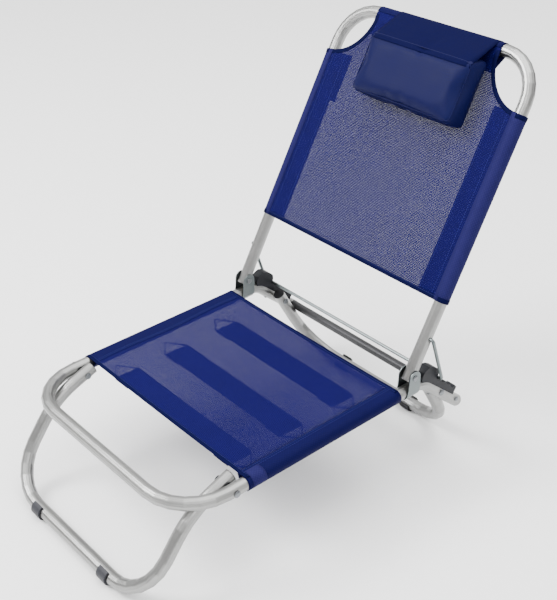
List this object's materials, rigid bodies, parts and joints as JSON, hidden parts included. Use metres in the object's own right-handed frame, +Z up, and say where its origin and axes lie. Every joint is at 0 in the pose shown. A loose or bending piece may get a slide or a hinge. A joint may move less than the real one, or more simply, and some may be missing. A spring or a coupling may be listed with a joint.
{
  "type": "folding beach lounger",
  "caption": "Low folding beach lounger with tube frame, mesh seat and back, headrest pillow, hinged legs and a ratchet stay.",
  "frame": {"origin": "floor level, midway between the left and right sides and between the foremost and rearmost points of the opened chair", "axes": "+Y from the front feet towards the backrest, +Z up, +X to the right as the chair is seen from its front bar looking back"},
  "size_m": [0.4646, 0.8166, 0.6915],
  "materials": {
    "aluminium": "satin anodised",
    "zinc_steel": "galvanised",
    "dark_steel": "dark grey",
    "rivet_steel": "plain",
    "charcoal_plastic": "moulded",
    "black_plastic": "moulded",
    "nylon": "natural",
    "mesh_cloth": "open mesh weave",
    "webbing": "tight weave",
    "pillow_cloth": "smooth, padded"
  },
  "bodies": {
    "seat_frame": {"seat_frame_tube": "aluminium", "cross_tube": "dark_steel", "seat_end_plug_left": "aluminium", "ratchet_left": "charcoal_plastic", "ratchet_rivet_left": "rivet_steel", "bracket_rivet_left": "rivet_steel", "hinge_rivet_left": "rivet_steel", "cross_tube_screw_left": "rivet_steel", "front_leg_rivet_left": "rivet_steel", "rear_leg_rivet_left": "rivet_steel", "hinge_bracket_left": "zinc_steel", "front_leg_washer_left": "black_plastic", "rear_leg_washer_left": "black_plastic", "seat_end_plug_right": "aluminium", "ratchet_right": "charcoal_plastic", "ratchet_rivet_right": "rivet_steel", "bracket_rivet_right": "rivet_steel", "hinge_rivet_right": "rivet_steel", "cross_tube_screw_right": "rivet_steel", "front_leg_rivet_right": "rivet_steel", "rear_leg_rivet_right": "rivet_steel", "hinge_bracket_right": "zinc_steel", "front_leg_washer_right": "black_plastic", "rear_leg_washer_right": "black_plastic", "seat_cloth": "mesh_cloth", "seat_strap_front": "webbing", "strap_hook_front_left": "dark_steel", "strap_hook_front_right": "dark_steel", "seat_strap_middle": "webbing", "strap_hook_middle_left": "dark_steel", "strap_hook_middle_right": "dark_steel", "seat_strap_rear": "webbing", "strap_hook_rear_left": "dark_steel", "strap_hook_rear_right": "dark_steel"},
    "hinge_bushes": {"hinge_bush_left": "nylon", "hinge_bush_right": "nylon"},
    "backrest": {"backrest_tube": "aluminium", "backrest_cloth": "mesh_cloth", "headrest_pillow": "pillow_cloth", "pillow_flap": "webbing"},
    "stay": {"stay_wire": "zinc_steel"},
    "front_leg": {"front_leg_tube": "aluminium", "front_leg_plug_left": "black_plastic", "front_foot_left": "charcoal_plastic", "front_leg_plug_right": "black_plastic", "front_foot_right": "charcoal_plastic"},
    "rear_leg": {"rear_leg_tube": "aluminium", "rear_leg_plug_left": "black_plastic", "rear_foot_left": "black_plastic", "rear_leg_plug_right": "black_plastic", "rear_foot_right": "black_plastic"}
  },
  "joints": [
    {"name": "backrest_recline", "type": "hinge", "parent": "seat_frame", "child": "hinge_bushes", "pos_m": [0, 0.1342, 0.2042], "axis": [1, 0, 0], "range_deg": [-40, 0]},
    {"name": "backrest_fold", "type": "hinge", "parent": "hinge_bushes", "child": "backrest", "pos_m": [0, 0.1342, 0.2042], "axis": [1, 0, 0], "range_deg": [0, 112]},
    {"name": "stay_swing", "type": "hinge", "parent": "backrest", "child": "stay", "pos_m": [0, 0.16722, 0.26433], "axis": [1, 0, 0], "range_deg": [0, 46]},
    {"name": "front_leg_fold", "type": "hinge", "parent": "seat_frame", "child": "front_leg", "pos_m": [0, -0.2384, 0.1655], "axis": [1, 0, 0], "range_deg": [0, 125]},
    {"name": "rear_leg_fold", "type": "hinge", "parent": "seat_frame", "child": "rear_leg", "pos_m": [0, 0.2066, 0.1418], "axis": [1, 0, 0], "range_deg": [-119, 0]}
  ],
  "couplings": [
    {"joint": "stay_swing", "follows": "backrest_recline", "ratio": -1.1293}
  ]
}
